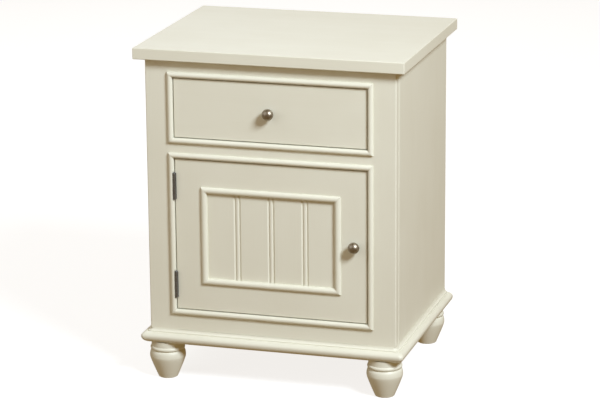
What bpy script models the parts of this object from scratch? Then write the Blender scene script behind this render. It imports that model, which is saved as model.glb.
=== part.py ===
# A painted bedside cabinet: one drawer above a cupboard, on four turned feet.
# Metres, +Z up, front towards -Y. The origin is on the floor below the middle of the whole.

from math import cos, pi, radians, sin, sqrt

import bmesh
import bpy
from mathutils import Matrix, Vector

mm = 0.001

# Clearances
seat = 0.3 * mm  # between two pieces that touch
frontGap = 1.5 * mm  # round the inset drawer front and door
ballGap = 1.0 * mm  # between slide members, where the balls run
hingeGap = 0.3 * mm  # between the two leaves of a closed hinge
catchGap = 0.5 * mm  # between the magnet and its strike

# Overall sizes
topWidth = 482 * mm
topDepth = 384 * mm
overallHeight = 600 * mm

# Top
topThick = 20 * mm
topOverhangSide = 17.2 * mm
topOverhangFront = 14.5 * mm
topOverhangBack = 11.5 * mm
topEase = 1.6 * mm

# Carcass
frameThick = 18 * mm
stileWidth = 49.8 * mm
cornerEase = 1.2 * mm
jointGroove = 0.8 * mm  # the V where a stile meets its side panel
topRail = 31 * mm
middleRail = 36 * mm
bottomRail = 38 * mm
drawerOpening = 107 * mm
sideThick = 16 * mm
backThick = 6 * mm
backRebate = 8 * mm
dustThick = 12 * mm

# Base: a board edged with a moulding
baseThick = 25 * mm
baseReach = 15.2 * mm
baseCorner = 5.5 * mm
baseSetIn = 6 * mm
coveReach = 4.2 * mm
coveHeight = 6 * mm
noseHeight = 11 * mm
quirk = 1.2 * mm  # the groove between the round and the cove

# Turned feet
footHeight = 69 * mm
footToe = 17.6 * mm
footBulb = 31.9 * mm
footShoulder = 12 * mm  # height from the bulb's widest up to the groove
footGroove = 27.8 * mm
footCollar = 30.7 * mm
footCollarHeight = 7 * mm
footNeck = 28.7 * mm
footNeckLength = 10 * mm
footInsetSide = 24.8 * mm
footInsetFront = 18 * mm
footInsetBack = 35 * mm
spigotRadius = 6 * mm
spigotLength = 18 * mm

# Beads round the openings
beadWidth = 9.5 * mm
beadRise = 5.5 * mm

# Drawer
drawerFrontThick = 18 * mm
drawerSideThick = 12 * mm
drawerSideInset = 12 * mm
drawerBackThick = 12 * mm
drawerBottomThick = 6 * mm
drawerBottomLift = 6 * mm
drawerGroove = 6 * mm

# Drawer slides
slideThick = 12.7 * mm
slideHeight = 35 * mm
slideWall = 1.2 * mm
slideBackSpace = 22 * mm
slideFlange = 10.5 * mm
spacerHeight = 45 * mm

# Door
doorThick = 18 * mm
doorStile = 46.5 * mm
doorRail = 47.5 * mm
panelThick = 11 * mm
panelSink = 2 * mm
panelTongue = 6 * mm
panelHousing = 8 * mm
mouldingWidth = 11 * mm
mouldingRise = 5 * mm
grooveSpacing = 61 * mm
grooveQuirk = 3 * mm
grooveBead = 7 * mm
grooveDepth = 2.2 * mm

# Hinges
hingeLength = 47 * mm
hingeLeaf = 1.2 * mm
hingeDepth = 15 * mm
knuckleRadius = 2.7 * mm
hingePin = 1.3 * mm
pinHead = 2.3 * mm
hingeForward = 3.1 * mm
upperHingeDrop = 49 * mm
lowerHingeRise = 44 * mm
knuckles = 5

# Knobs and their screws
knobLength = 19.5 * mm
knobRadius = 10.1 * mm
knobHeadHalf = 8.6 * mm
knobFoot = 6 * mm
knobNeck = 4.4 * mm
knobBore = 11 * mm
screwRadius = 2 * mm
screwHead = 4 * mm
screwHeadThick = 2.4 * mm
screwGrip = 9 * mm
doorKnobDrop = 135.5 * mm

# Magnetic catch
catchWidth = 40 * mm
catchDepth = 16 * mm
catchHeight = 17 * mm
catchFromLatch = 52 * mm
strikeWidth = 20 * mm
strikeHeight = 13 * mm
strikeThick = 1.2 * mm

# Heights and widths that follow
topUnder = overallHeight - topThick
baseTop = footHeight + baseThick
bodyHalf = topWidth / 2 - topOverhangSide
bodyDepth = topDepth - topOverhangFront - topOverhangBack
openHalf = bodyHalf - stileWidth
sideInner = bodyHalf - sideThick
drawerHigh = topUnder - topRail
drawerLow = drawerHigh - drawerOpening
doorHigh = drawerLow - middleRail
doorLow = baseTop + bottomRail
frontHalf = openHalf - frontGap
backFace = bodyDepth - backThick
slideEnd = backFace - slideBackSpace
slideLevel = (drawerLow + drawerHigh) / 2
frontReach = max(knobLength, topOverhangFront)
faceFromCentre = (frontReach - bodyDepth - topOverhangBack) / 2


# ---- Shared tools -------------------------------------------------------------------------


def material(name, colour, roughness, metallic=0.0):
    made = bpy.data.materials.new(name)
    made.use_nodes = True
    shader = made.node_tree.nodes["Principled BSDF"]
    shader.inputs["Base Color"].default_value = (*colour, 1)
    shader.inputs["Roughness"].default_value = roughness
    shader.inputs["Metallic"].default_value = metallic
    made.diffuse_color = (*colour, 1)
    return made


def empty(name, at):
    made = bpy.data.objects.new(name, None)
    made.empty_display_size = 0.02
    made.location = at
    bpy.context.scene.collection.objects.link(made)
    return made


def place(name, shape, finish, at=(0, 0, 0), group=None, turn=(0, 0, 0)):
    """Puts a shape into the scene. Places are measured from the face of the front frame, on the floor."""
    bmesh.ops.recalc_face_normals(shape, faces=shape.faces)
    mesh = bpy.data.meshes.new(name)
    shape.to_mesh(mesh)
    shape.free()
    piece = bpy.data.objects.new(name, mesh)
    bpy.context.scene.collection.objects.link(piece)
    if finish:
        mesh.materials.append(finish)
    piece.parent = group or cabinet
    piece.location = Vector(at) - (group.location if group else Vector())
    piece.rotation_euler = turn
    return piece


def board(name, x, y, z, finish, group=None):
    """A rectangular board between two values on each axis."""
    size = Vector((x[1] - x[0], y[1] - y[0], z[1] - z[0]))
    middle = Vector((x[0] + x[1], y[0] + y[1], z[0] + z[1])) / 2
    shape = bmesh.new()
    bmesh.ops.create_cube(shape, size=1, matrix=Matrix.Diagonal(size).to_4x4())
    return place(name, shape, finish, middle, group)


def prism(name, outline, axis, span, finish, at=(0, 0, 0), group=None):
    """A closed outline pushed along one axis. Its points use the other two axes, in order."""
    shape = bmesh.new()
    corners = []
    for first, second in outline:
        corner = [first, second]
        corner.insert("XYZ".index(axis), span[0])
        corners.append(shape.verts.new(corner))
    face = shape.faces.new(corners)
    grown = bmesh.ops.extrude_face_region(shape, geom=[face])["geom"]
    push = Vector([span[1] - span[0] if letter == axis else 0 for letter in "XYZ"])
    moved = [item for item in grown if isinstance(item, bmesh.types.BMVert)]
    bmesh.ops.translate(shape, verts=moved, vec=push)
    return place(name, shape, finish, at, group)


def strip(name, section, half, mitredBy, ends, finish, at, turn, group=None, cornerRound=0):
    """A moulding along X with a section of (forward, up) points.

    A mitred end runs on by the point's own forward (0) or up (1) value. cornerRound is the
    radius, seen from above, that takes the sharp corner off two mitred ends.
    """
    shape = bmesh.new()
    rings = []
    for side, mitred in zip((-1, 1), ends):
        angles = [0]
        if mitred and cornerRound:
            angles = [pi / 4 * i / 4 for i in range(5)]
        stations = [(cornerRound * (1 - sin(a)), cornerRound * (1 - cos(a))) for a in angles]
        if side < 0:
            stations.reverse()
        for short, pull in stations:
            ring = []
            for point in section:
                forward, up = point
                reach = half + (point[mitredBy] - seat / 2 if mitred else 0)
                if mitred and cornerRound and forward > 0:
                    reach -= short
                    forward -= pull
                elif mitred and cornerRound:
                    reach -= (short - cornerRound * (1 - sin(pi / 4))) * sqrt(2)
                ring.append(shape.verts.new((side * reach, -forward, up)))
            rings.append(ring)
    shape.faces.new(rings[0])
    shape.faces.new(rings[-1])
    count = len(section)
    for first, second in zip(rings, rings[1:]):
        for i in range(count):
            j = (i + 1) % count
            shape.faces.new((first[i], first[j], second[j], second[i]))
    piece = place(name, shape, finish, at, group, turn)
    smooth(piece)
    return piece


def stripFrame(name, section, halfWidth, halfHeight, middle, finish, group=None):
    """Four mitred strips round a rectangle in the plane of the front."""
    sides = {
        "top": (0, 1, 0),
        "right": (1, 0, 90),
        "bottom": (0, -1, 180),
        "left": (-1, 0, -90),
    }
    made = {}
    for side, (right, up, angle) in sides.items():
        half = halfWidth if up else halfHeight
        at = Vector(middle) + Vector((right * halfWidth, 0, up * halfHeight))
        turn = (0, radians(angle), 0)
        made[side] = strip(f"{name}_{side}", section, half, 1, (True, True), finish, at, turn, group)
    return made


def turned(name, profile, finish, at, group=None, turn=(0, 0, 0), steps=32):
    """A (radius, height) profile turned about Z. It begins and ends on the axis."""
    shape = bmesh.new()
    line = [shape.verts.new((radius, 0, height)) for radius, height in profile]
    edges = [shape.edges.new(pair) for pair in zip(line, line[1:])]
    bmesh.ops.spin(
        shape, geom=line + edges, axis=(0, 0, 1), cent=(0, 0, 0), steps=steps, angle=2 * pi
    )
    bmesh.ops.remove_doubles(shape, verts=shape.verts, dist=0.01 * mm)
    piece = place(name, shape, finish, at, group, turn)
    smooth(piece)
    return piece


def arc(centre, radii, start, end, steps):
    """Points on an ellipse, angles in degrees from the first axis."""
    angles = [radians(start + (end - start) * i / steps) for i in range(steps + 1)]
    return [(centre[0] + radii[0] * cos(a), centre[1] + radii[1] * sin(a)) for a in angles]


def bend(start, pull, end, steps):
    """Points on a curve from start to end, drawn towards pull."""
    found = []
    for i in range(steps + 1):
        t = i / steps
        weights = ((1 - t) ** 2, 2 * t * (1 - t), t**2)
        found.append(tuple(
            sum(w * point[k] for w, point in zip(weights, (start, pull, end))) for k in (0, 1)
        ))
    return found


def smooth(piece):
    piece.data.shade_smooth()
    piece.data.set_sharp_from_angle(angle=radians(35))


def cut(piece, cutter):
    """Takes the cutter away from the piece and hides it."""
    hide(cutter)
    taken = piece.modifiers.new(cutter.name, "BOOLEAN")
    taken.operation = "DIFFERENCE"
    taken.solver = "EXACT"
    taken.object = cutter


def join(piece, other):
    """Makes the other shape part of the piece and hides the original."""
    hide(other)
    joined = piece.modifiers.new(other.name, "BOOLEAN")
    joined.operation = "UNION"
    joined.solver = "EXACT"
    joined.object = other


def hide(helper):
    helper.hide_render = True
    helper.display_type = "WIRE"


def drill(name, radius, axisAt, direction, span, group=None):
    """A cylinder to cut with, along Y or Z."""
    half = (span[1] - span[0]) / 2
    middle = (span[0] + span[1]) / 2
    shape = bmesh.new()
    bmesh.ops.create_cone(
        shape, cap_ends=True, segments=24, radius1=radius, radius2=radius, depth=2 * half
    )
    if direction == "Y":
        at, turn = (axisAt[0], middle, axisAt[1]), (pi / 2, 0, 0)
    else:
        at, turn = (axisAt[0], axisAt[1], middle), (0, 0, 0)
    return place(name, shape, None, at, group, turn)


# ---- Carcass ------------------------------------------------------------------------------


def makeTop():
    span = (-topOverhangFront, bodyDepth + topOverhangBack)
    top = board("top_panel", (-topWidth / 2, topWidth / 2), span, (topUnder, overallHeight), paint)
    ease = top.modifiers.new("eased_edges", "BEVEL")
    ease.width = topEase
    ease.segments = 3


def makeSides():
    """Side panels with a rebate at the back for the back panel."""
    rebate = sideInner + backRebate
    for side, word in ((-1, "left"), (1, "right")):
        outline = [
            (side * (bodyHalf - jointGroove), frameThick + seat),
            (side * bodyHalf, frameThick + seat + jointGroove),
            (side * bodyHalf, bodyDepth),
            (side * rebate, bodyDepth),
            (side * rebate, backFace - seat),
            (side * sideInner, backFace - seat),
            (side * sideInner, frameThick + seat),
        ]
        prism(f"side_panel_{word}", outline, "Z", (baseTop + seat, topUnder - seat), paint)


def makeBackAndDust():
    half = sideInner + backRebate - seat
    board("back_panel", (-half, half), (backFace, bodyDepth), (baseTop + seat, topUnder - seat), paint)
    inner = sideInner - seat
    depth = (frameThick + seat, backFace - seat)
    board("dust_panel", (-inner, inner), depth, (doorHigh, doorHigh + dustThick), bareWood)


def makeFaceFrame():
    stiles = {}
    for side, word in ((-1, "left"), (1, "right")):
        outline = [
            (side * openHalf, 0),
            (side * (bodyHalf - cornerEase), 0),
            (side * bodyHalf, cornerEase),
            (side * bodyHalf, frameThick - jointGroove),
            (side * (bodyHalf - jointGroove), frameThick),
            (side * openHalf, frameThick),
        ]
        span = (baseTop + seat, topUnder - seat)
        stiles[word] = prism(f"face_stile_{word}", outline, "Z", span, paint)
    across = (-openHalf + seat, openHalf - seat)
    rails = {
        "top": (drawerHigh, topUnder - seat),
        "middle": (doorHigh, drawerLow),
        "bottom": (baseTop + seat, doorLow),
    }
    for word, span in rails.items():
        board(f"face_rail_{word}", across, (0, frameThick), span, paint)
    return stiles


def footPlaces():
    across = bodyHalf - footInsetSide
    along = {"front": footInsetFront, "back": bodyDepth - footInsetBack}
    return {
        f"{depth}_{word}": (side * across, y)
        for depth, y in along.items()
        for side, word in ((-1, "left"), (1, "right"))
    }


def makeBase():
    """The bottom board, drilled for the feet, with a mitred moulding round three sides."""
    half = bodyHalf - baseSetIn - seat
    depth = (baseSetIn + seat, bodyDepth)
    bottom = board("bottom_board", (-half, half), depth, (footHeight, baseTop), paint)
    for word, at in footPlaces().items():
        span = (footHeight - 1 * mm, footHeight + spigotLength + seat)
        cut(bottom, drill(f"foot_hole_{word}", spigotRadius + seat, at, "Z", span))

    middle = baseReach * 0.25
    round = baseReach - middle
    section = [(-baseSetIn, 0)]
    section += arc((middle, noseHeight), (round, noseHeight), -90, 0, 6)
    section += arc((middle, noseHeight), (round, baseThick - coveHeight - noseHeight), 0, 78, 5)[1:]
    lip, top = section[-1]
    section += [(lip - quirk / 2, top - quirk / 2), (lip - quirk, top - quirk / 4), (lip - quirk, top + quirk)]
    section += arc((lip - quirk, baseThick), (coveReach, baseThick - top - quirk), 270, 180, 4)[1:]
    section.append((-baseSetIn, baseThick))

    at = (0, 0, footHeight)
    strip(
        "base_moulding_front", section, bodyHalf, 0, (True, True), paint, at, (0, 0, 0),
        cornerRound=baseCorner,
    )
    middle = bodyDepth / 2
    for side, word, ends in ((-1, "left", (False, True)), (1, "right", (True, False))):
        at = (side * bodyHalf, middle, footHeight)
        turn = (0, 0, side * pi / 2)
        strip(
            f"base_moulding_{word}", section, middle, 0, ends, paint, at, turn,
            cornerRound=baseCorner,
        )


def makeFeet():
    """A tapering bulb, a groove, a round collar and a neck, with a spigot on top."""
    toe = 3 * mm
    lift = toe * 0.25
    collarTop = footHeight - footNeckLength
    groove = collarTop - footCollarHeight
    widest = groove - footShoulder
    profile = [(0, 0), (footToe - toe, 0), (footToe - toe * 0.3, lift), (footToe, toe * 0.7)]
    profile += bend((footToe, toe * 0.7), (footBulb, widest - 5 * mm), (footBulb, widest), 8)[1:]
    profile += bend((footBulb, widest), (footBulb, groove - 2 * mm), (footGroove, groove), 5)[1:]
    collarHalf = footCollarHeight / 2
    collar = (footCollar - footGroove, collarHalf)
    profile += arc((footGroove, groove + collarHalf), collar, -80, 70, 6)
    profile += [(footNeck, collarTop), (footNeck, footHeight - seat)]
    profile += [(spigotRadius, footHeight - seat), (spigotRadius, footHeight + spigotLength - mm)]
    profile += [(spigotRadius - mm, footHeight + spigotLength), (0, footHeight + spigotLength)]
    for word, (x, y) in footPlaces().items():
        turned(f"foot_{word}", profile, paint, (x, y, 0), steps=36)


def beadSection():
    """A half-round bead, flat on the frame's face, from its inner edge outwards."""
    flat = beadRise - beadWidth / 2
    section = [(seat, 0)]
    section += [(forward, up) for up, forward in arc(
        (beadWidth / 2, flat), (beadWidth / 2, beadRise - flat), 180, 0, 10
    )]
    section.append((seat, beadWidth))
    return section


def makeBeads():
    made = {}
    for word, low, high in (("drawer", drawerLow, drawerHigh), ("door", doorLow, doorHigh)):
        middle = (0, 0, (low + high) / 2)
        made[word] = stripFrame(f"{word}_bead", beadSection(), openHalf, (high - low) / 2, middle, paint)
    return made


# ---- Drawer and its slides ----------------------------------------------------------------


def makeDrawer():
    low, high = drawerLow + frontGap, drawerHigh - frontGap
    front = board("drawer_front", (-frontHalf, frontHalf), (0, drawerFrontThick), (low, high), paint, drawer)
    boxHalf = openHalf - slideThick
    sideLow, sideHigh = low + drawerSideInset, high - drawerSideInset
    inner = boxHalf - drawerSideThick
    span = (drawerFrontThick + seat, slideEnd)
    floorLow = sideLow + drawerBottomLift
    floorHigh = floorLow + drawerBottomThick
    for side, word in ((-1, "left"), (1, "right")):
        groove = inner + drawerGroove
        outline = [
            (side * boxHalf, sideLow),
            (side * boxHalf, sideHigh),
            (side * inner, sideHigh),
            (side * inner, floorHigh + seat),
            (side * groove, floorHigh + seat),
            (side * groove, floorLow - seat),
            (side * inner, floorLow - seat),
            (side * inner, sideLow),
        ]
        prism(f"drawer_side_{word}", outline, "Y", span, bareWood, group=drawer)
    across = (-inner + seat, inner - seat)
    backSpan = (slideEnd - drawerBackThick, slideEnd)
    board("drawer_back", across, backSpan, (floorHigh + seat, sideHigh), bareWood, drawer)
    floorHalf = inner + drawerGroove - seat
    board("drawer_bottom", (-floorHalf, floorHalf), span, (floorLow, floorHigh), bareWood, drawer)
    makeKnob("drawer", front, drawerFrontThick, 0, slideLevel, drawer)


def channel(name, side, web, lip, halfHeight, group=None):
    """A channel along Y. Its web and the tips of its flanges are distances in from the opening's edge."""
    inward = 1 if lip > web else -1
    outline = [
        (web, halfHeight),
        (web, -halfHeight),
        (lip, -halfHeight),
        (lip, -halfHeight + slideWall),
        (web + inward * slideWall, -halfHeight + slideWall),
        (web + inward * slideWall, halfHeight - slideWall),
        (lip, halfHeight - slideWall),
        (lip, halfHeight),
    ]
    points = [(-side * distance, height) for distance, height in outline]
    at = (side * openHalf, 0, slideLevel)
    span = (frameThick + 2 * mm, slideEnd)
    return prism(name, points, "Y", span, zinc, at, group)


def makeSlides():
    """Ball-bearing slides of three nested channels on wooden packing."""
    step = slideWall + ballGap
    outerHalf = slideHeight / 2
    middleHalf = outerHalf - step
    innerHalf = middleHalf - step
    depth = (frameThick + seat, slideEnd)
    height = (slideLevel - spacerHeight / 2, slideLevel + spacerHeight / 2)
    for side, word, member in ((-1, "left", middleLeft), (1, "right", middleRight)):
        across = sorted((side * openHalf, side * (sideInner - seat)))
        board(f"slide_spacer_{word}", across, depth, height, bareWood)
        channel(f"slide_outer_{word}", side, seat, seat + slideFlange, outerHalf)
        channel(f"slide_middle_{word}", side, seat + step, seat + slideFlange, middleHalf, member)
        channel(f"slide_inner_{word}", side, slideThick - seat, seat + 2 * step, innerHalf, drawer)


# ---- Knobs --------------------------------------------------------------------------------


def makeKnob(word, front, thick, x, z, group):
    """A round knob held by a screw from behind the front."""
    hole = drill(f"{word}_knob_hole", screwRadius + seat, (x, z), "Y", (-mm, thick + mm), group)
    cut(front, hole)
    bore = screwRadius + seat
    headMiddle = knobLength - knobHeadHalf
    profile = [(0, knobBore), (bore, knobBore), (bore, seat), (knobFoot, seat), (knobFoot, 1.8 * mm)]
    neckTop = headMiddle - knobHeadHalf
    profile += bend((knobFoot - 0.5 * mm, 2.4 * mm), (knobNeck, 3 * mm), (knobNeck, neckTop), 4)
    profile += arc((0, headMiddle), (knobRadius, knobHeadHalf), -66, 84, 12)
    profile.append((0, knobLength))
    forward = (pi / 2, 0, 0)
    turned(f"{word}_knob", profile, pewter, (x, 0, z), group, forward, 28)

    headBack = -seat - screwHeadThick
    reach = thick + screwGrip
    screw = [(0, headBack), (screwHead * 0.8, headBack), (screwHead, headBack + 0.8 * mm)]
    screw += [(screwHead, -seat), (screwRadius, -seat), (screwRadius, reach - 0.5 * mm)]
    screw += [(screwRadius - 0.5 * mm, reach), (0, reach)]
    turned(f"{word}_knob_screw", screw, zinc, (x, thick, z), group, forward, 20)


# ---- Door ---------------------------------------------------------------------------------


def makeDoor():
    low, high = doorLow + frontGap, doorHigh - frontGap
    depth = (0, doorThick)
    holeHalf = frontHalf - doorStile
    holeLow, holeHigh = low + doorRail, high - doorRail
    hingeStile = board("door_stile_hinge", (-frontHalf, -holeHalf), depth, (low, high), paint, door)
    latchStile = board("door_stile_latch", (holeHalf, frontHalf), depth, (low, high), paint, door)
    across = (-holeHalf + seat, holeHalf - seat)
    topRailPiece = board("door_rail_top", across, depth, (holeHigh, high), paint, door)
    lowRailPiece = board("door_rail_bottom", across, depth, (low, holeLow), paint, door)

    slot = panelHousing
    tongueFront = panelSink + panelThick - panelTongue
    housing = board(
        "door_panel_housing",
        (-holeHalf - slot, holeHalf + slot),
        (tongueFront - seat, tongueFront + panelTongue + seat),
        (holeLow - slot, holeHigh + slot),
        None,
        door,
    )
    for piece in (hingeStile, latchStile, topRailPiece, lowRailPiece):
        cut(piece, housing)

    makeBeadboard(holeHalf - seat, (holeLow + seat, holeHigh - seat), slot - seat)
    middle = (0, 0, (holeLow + holeHigh) / 2)
    halfWidth = holeHalf - mouldingWidth
    halfHeight = (holeHigh - holeLow) / 2 - mouldingWidth
    stripFrame("door_moulding", mouldingSection(), halfWidth, halfHeight, middle, paint, door)

    knobX = frontHalf - doorStile / 2 + 2 * mm
    makeKnob("door", latchStile, doorThick, knobX, doorHigh - doorKnobDrop, door)
    makeCatch()
    return hingeStile


def makeBeadboard(half, span, tongueReach):
    """A panel with three grooves, each a bead between two quirks, and a tongue on all four sides."""
    front, back = panelSink, panelSink + panelThick
    outline = [(-half, back), (-half, front)]
    for middle in (-grooveSpacing, 0, grooveSpacing):
        outline.append((middle - grooveBead / 2 - grooveQuirk, front))
        outline += arc((middle, front + grooveDepth), (grooveBead / 2, -grooveDepth), 180, 0, 8)
        outline.append((middle + grooveBead / 2 + grooveQuirk, front))
    outline += [(half, front), (half, back)]
    panel = prism("door_panel", outline, "Z", span, paint, group=door)
    tongue = board(
        "door_panel_tongue",
        (-half - tongueReach, half + tongueReach),
        (back - panelTongue, back),
        (span[0] - tongueReach, span[1] + tongueReach),
        None,
        door,
    )
    join(panel, tongue)
    smooth(panel)


def mouldingSection():
    """A half-round that stands proud of the door, with straight sides down to the panel."""
    outer = mouldingWidth - seat
    low = -panelSink + seat
    crown = arc((outer / 2, 0), (outer / 2, mouldingRise), 180, 0, 10)
    return [(low, 0)] + [(forward, up) for up, forward in crown] + [(low, outer)]


def makeCatch():
    """A magnetic catch below the dust panel, and its strike on the back of the door."""
    x = openHalf - catchFromLatch
    front = doorThick + seat + strikeThick + catchGap
    magnetTop = doorHigh - seat
    across = (x - catchWidth / 2, x + catchWidth / 2)
    board("catch_magnet", across, (front, front + catchDepth), (magnetTop - catchHeight, magnetTop), plastic)
    strikeTop = doorHigh - frontGap - mm
    across = (x - strikeWidth / 2, x + strikeWidth / 2)
    depth = (doorThick + seat, doorThick + seat + strikeThick)
    board("catch_strike", across, depth, (strikeTop - strikeHeight, strikeTop), zinc, door)


# ---- Hinges -------------------------------------------------------------------------------


def makeLeaf(name, side, own, z, group):
    """A flat leaf with its share of the knuckles. own lists the knuckles that it carries."""
    pitch = hingeLength / knuckles
    half = hingeLength / 2
    inner = side * hingeGap / 2
    tongue = knuckleRadius - 1 * mm
    clear = knuckleRadius + 2 * seat
    outline = []
    for i in range(knuckles):
        low, high = -half + i * pitch, -half + (i + 1) * pitch
        reach = tongue if i in own else clear
        if i in own:
            low, high = low + seat / 2, high - seat / 2
        elif i == 0:
            high += seat / 2
        elif i == knuckles - 1:
            low -= seat / 2
        else:
            low, high = low - seat / 2, high + seat / 2
        outline += [(reach, low), (reach, high)]
    back = hingeForward + hingeDepth
    outline += [(back, half), (back, -half)]
    at = (hingeX, -hingeForward, z)
    leaf = prism(name, outline, "X", (inner, inner + side * hingeLeaf), steel, at, group)
    bore = hingePin + seat
    for i in own:
        low, high = -half + i * pitch + seat / 2, -half + (i + 1) * pitch - seat / 2
        ring = drill(f"{name}_knuckle_{i}", knuckleRadius, at[:2], "Z", (z + low, z + high), group)
        eye = drill(f"{name}_eye_{i}", bore, at[:2], "Z", (z + low - mm, z + high + mm), group)
        join(leaf, ring)
        cut(leaf, eye)
    return leaf


def makeHinges(frameStile, doorStilePiece, bead):
    """Two butt hinges, mortised into the door and the frame, with their knuckles in front."""
    half = hingeLength / 2
    levels = {
        "upper": doorHigh - frontGap - upperHingeDrop,
        "lower": doorLow + frontGap + lowerHingeRise,
    }
    for word, z in levels.items():
        outer = list(range(0, knuckles, 2))
        between = list(range(1, knuckles, 2))
        makeLeaf(f"hinge_{word}_frame_leaf", -1, outer, z, None)
        makeLeaf(f"hinge_{word}_door_leaf", 1, between, z, door)
        profile = [(0, -half), (hingePin - 0.4 * mm, -half), (hingePin, -half + 0.6 * mm)]
        profile += [(hingePin, half + seat), (pinHead, half + seat)]
        profile += arc((0, half + seat + 0.5 * mm), (pinHead, 1.2 * mm), 0, 90, 4)
        turned(f"hinge_{word}_pin", profile, steel, (hingeX, -hingeForward, z), steps=20)

        reach = hingeGap / 2 + hingeLeaf + seat
        pocket = board(
            f"hinge_{word}_mortise",
            (hingeX - reach, hingeX + reach),
            (-mm, hingeDepth + seat),
            (z - half - seat, z + half + seat),
            None,
        )
        cut(frameStile, pocket)
        cut(doorStilePiece, pocket)
        span = (z - half - 1.5 * mm, z + half + 3 * mm)
        notch = drill(f"hinge_{word}_notch", knuckleRadius + 2 * seat, (hingeX, -hingeForward), "Z", span)
        cut(bead, notch)


# ---- The cabinet --------------------------------------------------------------------------

for old in list(bpy.data.objects):
    bpy.data.objects.remove(old, do_unlink=True)

paint = material("cream_paint", (0.80, 0.77, 0.66), 0.4)
bareWood = material("clear_lacquered_wood", (0.60, 0.44, 0.27), 0.55)
zinc = material("zinc_plated_steel", (0.62, 0.63, 0.64), 0.32, 1.0)
steel = material("satin_steel", (0.46, 0.45, 0.43), 0.38, 1.0)
pewter = material("dark_pewter", (0.27, 0.25, 0.22), 0.34, 1.0)
plastic = material("catch_plastic", (0.62, 0.60, 0.55), 0.5)

hingeX = -openHalf + frontGap / 2
cabinet = empty("cabinet", (0, faceFromCentre, 0))
drawer = empty("drawer_travel", (0, 0, slideLevel))
door = empty("door_axis", (hingeX, -hingeForward, (doorLow + doorHigh) / 2))
middleLeft = empty("slide_left_travel", (-openHalf + slideThick / 2, 0, slideLevel))
middleRight = empty("slide_right_travel", (openHalf - slideThick / 2, 0, slideLevel))
for group in (drawer, door, middleLeft, middleRight):
    group.parent = cabinet

makeTop()
makeSides()
makeBackAndDust()
stiles = makeFaceFrame()
makeBase()
makeFeet()
beads = makeBeads()
makeDrawer()
makeSlides()
hingeStile = makeDoor()
makeHinges(stiles["left"], hingeStile, beads["door"]["left"])
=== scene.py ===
import math

import bmesh
import bpy
from mathutils import Matrix, Vector


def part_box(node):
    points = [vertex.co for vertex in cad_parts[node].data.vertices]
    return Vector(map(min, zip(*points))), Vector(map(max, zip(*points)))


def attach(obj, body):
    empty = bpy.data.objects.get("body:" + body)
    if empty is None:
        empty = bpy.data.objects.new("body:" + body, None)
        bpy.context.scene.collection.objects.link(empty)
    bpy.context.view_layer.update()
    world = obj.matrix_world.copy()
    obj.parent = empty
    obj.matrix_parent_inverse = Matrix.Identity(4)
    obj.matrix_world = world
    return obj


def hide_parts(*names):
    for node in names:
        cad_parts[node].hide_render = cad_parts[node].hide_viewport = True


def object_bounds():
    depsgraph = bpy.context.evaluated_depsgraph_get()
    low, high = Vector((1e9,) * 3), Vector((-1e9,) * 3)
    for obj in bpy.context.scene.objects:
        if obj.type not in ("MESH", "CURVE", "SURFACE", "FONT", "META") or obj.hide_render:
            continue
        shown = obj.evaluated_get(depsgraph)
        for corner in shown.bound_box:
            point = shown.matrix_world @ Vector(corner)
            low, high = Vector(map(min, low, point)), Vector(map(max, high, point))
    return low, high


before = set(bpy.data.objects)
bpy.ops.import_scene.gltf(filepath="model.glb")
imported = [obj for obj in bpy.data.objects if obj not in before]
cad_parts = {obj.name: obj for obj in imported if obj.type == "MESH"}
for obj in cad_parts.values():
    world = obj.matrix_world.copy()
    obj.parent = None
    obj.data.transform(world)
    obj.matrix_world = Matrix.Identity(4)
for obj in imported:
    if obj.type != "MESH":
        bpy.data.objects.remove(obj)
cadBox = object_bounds()

mm = 0.001
hair = 0.1 * mm  # a clearance too small to see
tuck = 0.3 * mm  # how far a hidden end runs on into its neighbour
right, forward, up = Vector((1, 0, 0)), Vector((0, -1, 0)), Vector((0, 0, 1))

# A cream painted bedside cabinet: a drawer above a beadboard door, on turned feet.


# Camera, floor and lights

cameraView = {
    "azimuth": 16.635,  # degrees, towards the right of the front
    "elevation": 15.442,
    "roll": -0.471,
    "aim": (1.43 * mm, -1.25 * mm, 296.31 * mm),
    "distance": 4.79954,
    "lens": 161.39,
}

room = {
    "floorRadius": 9.0,
    "rimRadius": 3.0,  # where the floor curves up into the backdrop
    "backdropHeight": 6.0,
    "colour": (0.36, 0.36, 0.36),
    "glow": 0.80,  # keeps the floor pale where no lamp reaches it
    "ambient": (1.0, 0.67, 0.29),
    "ambientStrength": 0.27,
}

lampColour = (0.79, 0.885, 0.97)
lamps = {
    "key_lamp": {"azimuth": 50, "elevation": 38, "away": 3.8, "size": 1.05, "power": 160},
    "left_lamp": {"azimuth": -48, "elevation": 25, "away": 3.0, "size": 3.0, "power": 22.4},
    "back_lamp": {"azimuth": 205, "elevation": 40, "away": 3.5, "size": 2.0, "power": 32.5},
}


def directionOf(azimuth, elevation):
    turn, lift = math.radians(azimuth), math.radians(elevation)
    return Vector((math.sin(turn) * math.cos(lift), -math.cos(turn) * math.cos(lift), math.sin(lift)))


def placeCamera():
    back = directionOf(cameraView["azimuth"], cameraView["elevation"])
    across = up.cross(back).normalized()
    above = back.cross(across)
    roll = math.radians(cameraView["roll"])
    camera = bpy.data.objects.new("camera", bpy.data.cameras.new("camera"))
    camera.data.lens = cameraView["lens"]
    camera.data.clip_end = 60
    tilted = math.cos(roll) * across + math.sin(roll) * above
    upright = math.cos(roll) * above - math.sin(roll) * across
    camera.matrix_world = Matrix.Translation(
        Vector(cameraView["aim"]) + back * cameraView["distance"]
    ) @ Matrix((tilted, upright, back)).transposed().to_4x4()
    bpy.context.scene.collection.objects.link(camera)
    bpy.context.scene.camera = camera


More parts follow.
